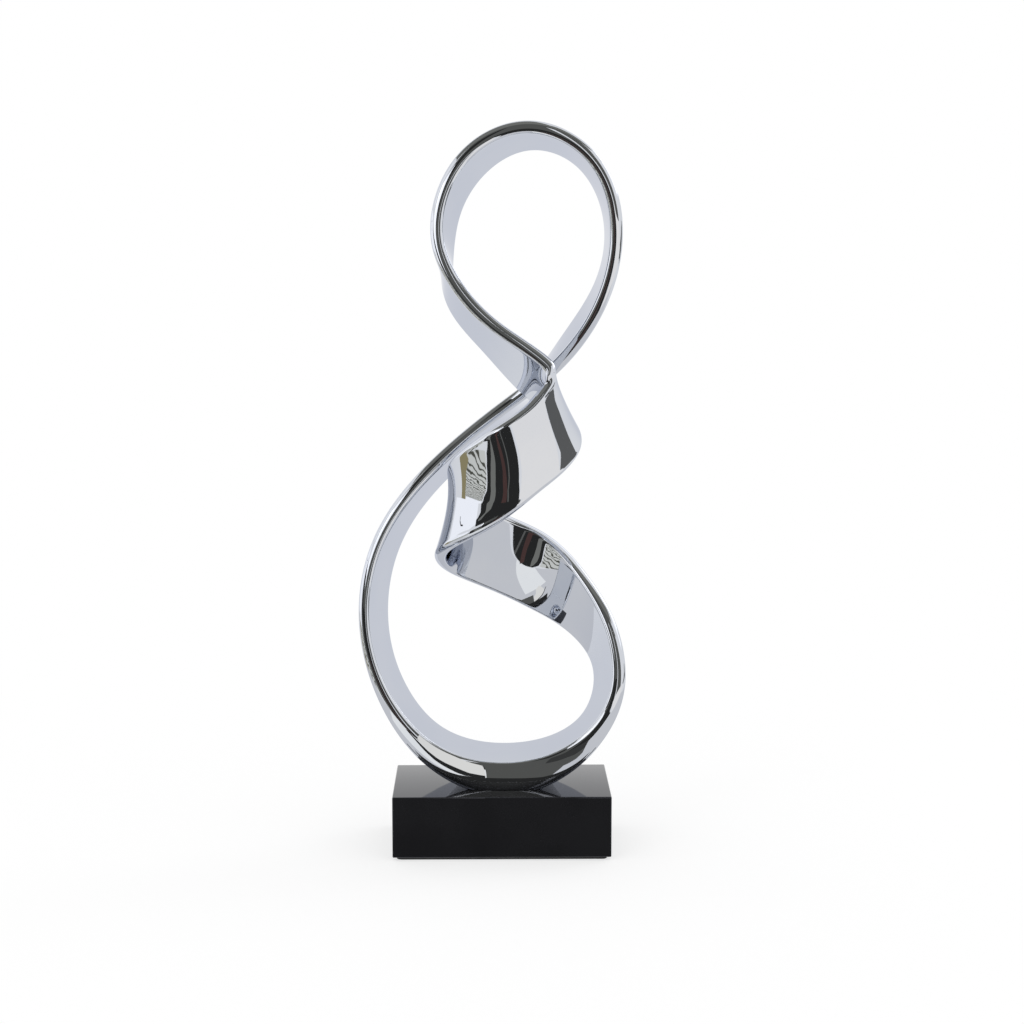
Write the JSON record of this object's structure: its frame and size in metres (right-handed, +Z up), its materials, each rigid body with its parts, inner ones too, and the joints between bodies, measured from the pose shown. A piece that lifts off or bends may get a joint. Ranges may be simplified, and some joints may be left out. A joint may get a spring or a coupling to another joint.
{
  "type": "twisted ribbon sculpture",
  "caption": "Abstract table sculpture: a closed chrome ribbon twists through an upper loop, a helical turn and a lower loop, standing on a gloss black block.",
  "frame": {"origin": "centre of the underside, on the surface the sculpture stands on", "axes": "+Z up; +X to the viewer's right; the viewer looks along +Y at the front"},
  "size_m": [0.1652, 0.1043, 0.4499],
  "materials": {
    "chrome_plating": "mirror polished",
    "gloss_black": "high gloss",
    "black_foam": "matt sheet",
    "brass": "turned",
    "plated_steel": "zinc plated",
    "dark_steel": "black oxide"
  },
  "bodies": {
    "root": {"ribbon": "chrome_plating", "base_block": "gloss_black", "base_pad": "black_foam", "threaded_insert_left": "brass", "threaded_insert_right": "brass", "washer_left": "plated_steel", "washer_right": "plated_steel", "machine_screw_left": "dark_steel", "machine_screw_right": "dark_steel"}
  },
  "joints": []
}
